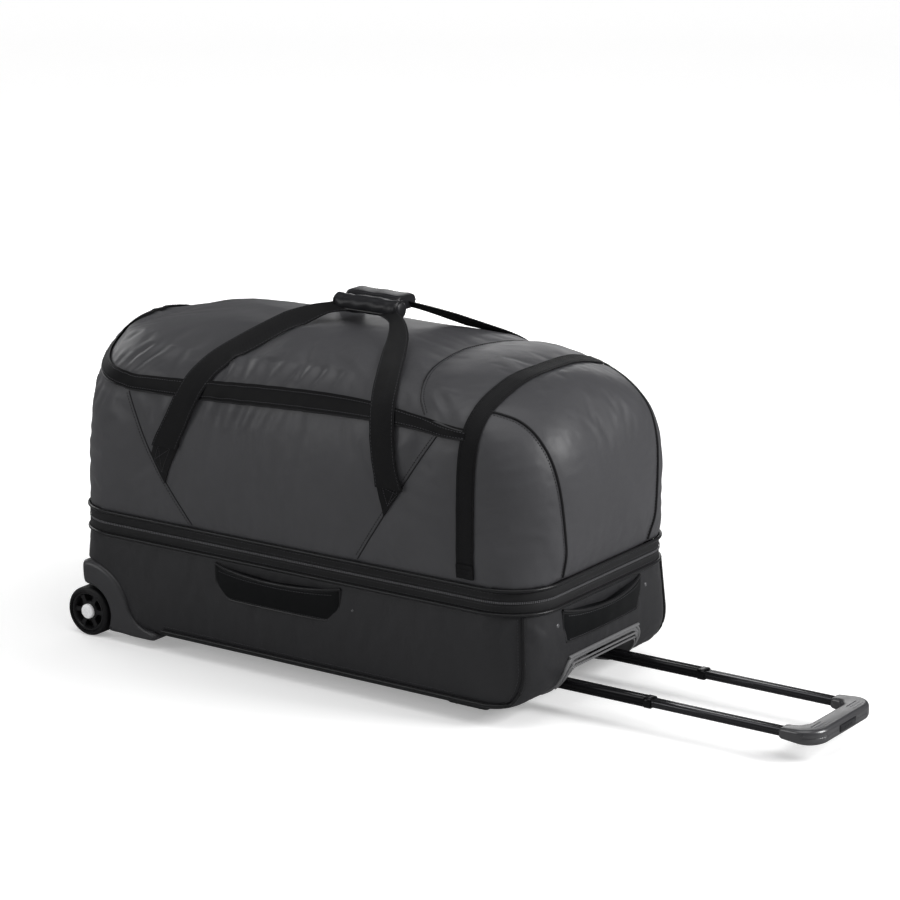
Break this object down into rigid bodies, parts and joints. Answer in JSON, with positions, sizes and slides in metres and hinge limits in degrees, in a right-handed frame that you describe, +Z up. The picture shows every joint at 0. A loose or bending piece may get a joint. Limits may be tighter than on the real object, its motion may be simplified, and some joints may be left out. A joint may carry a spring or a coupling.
{
  "type": "rolling duffel bag",
  "caption": "Long soft bag on a stiff zip-on lower case, with corner wheels, a telescoping pull handle, twin carry handles, a U-shaped top lid and side grab handles.",
  "frame": {"origin": "on the floor under the middle of the overall box, with the trolley handle pulled out", "axes": "+X towards the trolley handle end, with the wheels at the -X end; +Y towards the rear side that carries the fabric hinge; +Z up"},
  "size_m": [1.1152, 0.3921, 0.4895],
  "materials": {
    "band_top_piping": "coated cord piping",
    "band_zip_slider_front": "dark plated",
    "band_zip_slider_rear": "dark plated",
    "case_floor_board": "rigid sheet",
    "case_piping_front": "coated cord piping",
    "case_piping_rear": "coated cord piping",
    "case_shell": "coated black cloth over stiffener",
    "case_top_piping": "coated cord piping",
    "divider_floor": "rigid sheet",
    "end_grab_handle": "black woven webbing and tape",
    "end_handle_rivet_front": "dark plated",
    "end_handle_rivet_rear": "dark plated",
    "end_strap": "black woven webbing and tape",
    "foot_front": "moulded, fine grain",
    "foot_rear": "moulded, fine grain",
    "front_carry_handle": "black woven webbing and tape",
    "front_grab_handle": "black woven webbing and tape",
    "front_handle_rivet_left": "dark plated",
    "front_handle_rivet_right": "dark plated",
    "front_handle_wrap": "coated black cloth over stiffener",
    "grip_button": "moulded, fine grain",
    "handle_bezel": "moulded grey, ribbed",
    "hub_cap_front": "silvery moulded cap",
    "hub_cap_rear": "silvery moulded cap",
    "lid_panel": "coated charcoal cloth with a satin sheen",
    "lid_storm_flap": "black woven webbing and tape",
    "lid_zip_slider": "dark plated",
    "lock_rod_front": "bright steel",
    "lock_rod_rear": "bright steel",
    "lower_zip_tape": "black woven webbing and tape",
    "main_shell": "coated charcoal cloth with a satin sheen",
    "rear_carry_handle": "black woven webbing and tape",
    "rear_handle_wrap": "coated black cloth over stiffener",
    "rear_hinge_tape": "black woven webbing and tape",
    "rim_front": "moulded, fine grain",
    "rim_rear": "moulded, fine grain",
    "strap_end_front_left": "black woven webbing and tape",
    "strap_end_front_right": "black woven webbing and tape",
    "strap_end_rear_left": "black woven webbing and tape",
    "strap_end_rear_right": "black woven webbing and tape",
    "trolley_base_bracket": "moulded, fine grain",
    "trolley_grip": "moulded, fine grain",
    "trolley_lower_tube_front": "black anodised",
    "trolley_lower_tube_rear": "black anodised",
    "trolley_outer_tube_front": "plain mill finish",
    "trolley_outer_tube_rear": "plain mill finish",
    "trolley_upper_tube_front": "black anodised",
    "trolley_upper_tube_rear": "black anodised",
    "tube_collar_front": "moulded, fine grain",
    "tube_collar_rear": "moulded, fine grain",
    "tyre_front": "soft black tread",
    "tyre_rear": "soft black tread",
    "upper_zip_tape": "black woven webbing and tape",
    "wheel_axle_front": "bright steel",
    "wheel_axle_rear": "bright steel",
    "wheel_bearing_front": "bright steel",
    "wheel_bearing_rear": "bright steel",
    "wheel_housing_front": "moulded, fine grain",
    "wheel_housing_rear": "moulded, fine grain"
  },
  "bodies": {
    "case": {"case_floor_board": "case_floor_board", "case_piping_front": "case_piping_front", "case_piping_rear": "case_piping_rear", "case_shell": "case_shell", "case_top_piping": "case_top_piping", "end_handle_rivet_front": "end_handle_rivet_front", "end_handle_rivet_rear": "end_handle_rivet_rear", "foot_front": "foot_front", "foot_rear": "foot_rear", "front_handle_rivet_left": "front_handle_rivet_left", "front_handle_rivet_right": "front_handle_rivet_right", "handle_bezel": "handle_bezel", "lower_zip_tape": "lower_zip_tape", "rear_hinge_tape": "rear_hinge_tape", "trolley_base_bracket": "trolley_base_bracket", "trolley_outer_tube_front": "trolley_outer_tube_front", "trolley_outer_tube_rear": "trolley_outer_tube_rear", "wheel_axle_front": "wheel_axle_front", "wheel_axle_rear": "wheel_axle_rear", "wheel_housing_front": "wheel_housing_front", "wheel_housing_rear": "wheel_housing_rear"},
    "front_grab_handle": {"front_grab_handle": "front_grab_handle"},
    "end_grab_handle": {"end_grab_handle": "end_grab_handle"},
    "wheel_front": {"tyre_front": "tyre_front", "rim_front": "rim_front", "wheel_bearing_front": "wheel_bearing_front", "hub_cap_front": "hub_cap_front"},
    "wheel_rear": {"tyre_rear": "tyre_rear", "rim_rear": "rim_rear", "wheel_bearing_rear": "wheel_bearing_rear", "hub_cap_rear": "hub_cap_rear"},
    "trolley_lower": {"trolley_lower_tube_front": "trolley_lower_tube_front", "trolley_lower_tube_rear": "trolley_lower_tube_rear", "tube_collar_front": "tube_collar_front", "tube_collar_rear": "tube_collar_rear"},
    "trolley_upper": {"trolley_upper_tube_front": "trolley_upper_tube_front", "trolley_upper_tube_rear": "trolley_upper_tube_rear", "trolley_grip": "trolley_grip"},
    "grip_button": {"grip_button": "grip_button", "lock_rod_front": "lock_rod_front", "lock_rod_rear": "lock_rod_rear"},
    "upper_bag": {"main_shell": "main_shell", "divider_floor": "divider_floor", "upper_zip_tape": "upper_zip_tape", "band_top_piping": "band_top_piping", "end_strap": "end_strap", "strap_end_front_left": "strap_end_front_left", "strap_end_front_right": "strap_end_front_right", "strap_end_rear_left": "strap_end_rear_left", "strap_end_rear_right": "strap_end_rear_right"},
    "lid": {"lid_panel": "lid_panel", "lid_storm_flap": "lid_storm_flap"},
    "front_carry_handle": {"front_carry_handle": "front_carry_handle", "front_handle_wrap": "front_handle_wrap"},
    "rear_carry_handle": {"rear_carry_handle": "rear_carry_handle", "rear_handle_wrap": "rear_handle_wrap"},
    "band_zip_slider_front": {"band_zip_slider_front": "band_zip_slider_front"},
    "band_zip_slider_rear": {"band_zip_slider_rear": "band_zip_slider_rear"},
    "lid_zip_slider": {"lid_zip_slider": "lid_zip_slider"}
  },
  "joints": [
    {"name": "upper_bag_hinge", "type": "hinge", "parent": "case", "child": "upper_bag", "pos_m": [-0.1754, 0.1895, 0.166], "axis": [-1, 0, 0], "range_deg": [0, 85]},
    {"name": "lid_hinge", "type": "hinge", "parent": "upper_bag", "child": "lid", "pos_m": [0.0766, 0.004, 0.434], "axis": [0, -1, 0], "range_deg": [-50, 0]},
    {"name": "front_handle_hinge", "type": "hinge", "parent": "upper_bag", "child": "front_carry_handle", "pos_m": [-0.1754, -0.1895, 0.29], "axis": [1, 0, 0], "range_deg": [0, 150]},
    {"name": "rear_handle_hinge", "type": "hinge", "parent": "upper_bag", "child": "rear_carry_handle", "pos_m": [-0.1754, 0.1975, 0.29], "axis": [-1, 0, 0], "range_deg": [0, 150]},
    {"name": "front_grab_hinge", "type": "hinge", "parent": "case", "child": "front_grab_handle", "pos_m": [-0.1924, -0.179, 0.095], "axis": [-1, 0, 0], "range_deg": [-30, 0]},
    {"name": "end_grab_hinge", "type": "hinge", "parent": "case", "child": "end_grab_handle", "pos_m": [0.1966, -0.004, 0.099], "axis": [0, -1, 0], "range_deg": [-30, 0]},
    {"name": "wheel_front_spin", "type": "hinge", "parent": "case", "child": "wheel_front", "pos_m": [-0.5194, -0.167, 0.0344], "axis": [0, 1, 0], "continuous": true},
    {"name": "wheel_rear_spin", "type": "hinge", "parent": "case", "child": "wheel_rear", "pos_m": [-0.5194, 0.175, 0.0344], "axis": [0, 1, 0], "continuous": true},
    {"name": "trolley_lower_slide", "type": "slide", "parent": "case", "child": "trolley_lower", "axis": [1, 0, 0], "range_m": [-0.1775, 0]},
    {"name": "trolley_upper_slide", "type": "slide", "parent": "trolley_lower", "child": "trolley_upper", "axis": [1, 0, 0], "range_m": [-0.1835, 0]},
    {"name": "grip_button_press", "type": "slide", "parent": "trolley_upper", "child": "grip_button", "axis": [1, 0, 0], "range_m": [-0.003, 0]},
    {"name": "band_zip_front_slide", "type": "slide", "parent": "case", "child": "band_zip_slider_front", "axis": [0, 1, 0], "range_m": [-0.07, 0]},
    {"name": "band_zip_rear_slide", "type": "slide", "parent": "case", "child": "band_zip_slider_rear", "axis": [0, 1, 0], "range_m": [0, 0.07]},
    {"name": "lid_zip_slide", "type": "slide", "parent": "upper_bag", "child": "lid_zip_slider", "axis": [1, 0, 0], "range_m": [-0.2, 0]}
  ],
  "couplings": [
    {"joint": "front_handle_hinge", "follows": "lid_hinge", "ratio": -3},
    {"joint": "rear_handle_hinge", "follows": "lid_hinge", "ratio": -3}
  ]
}
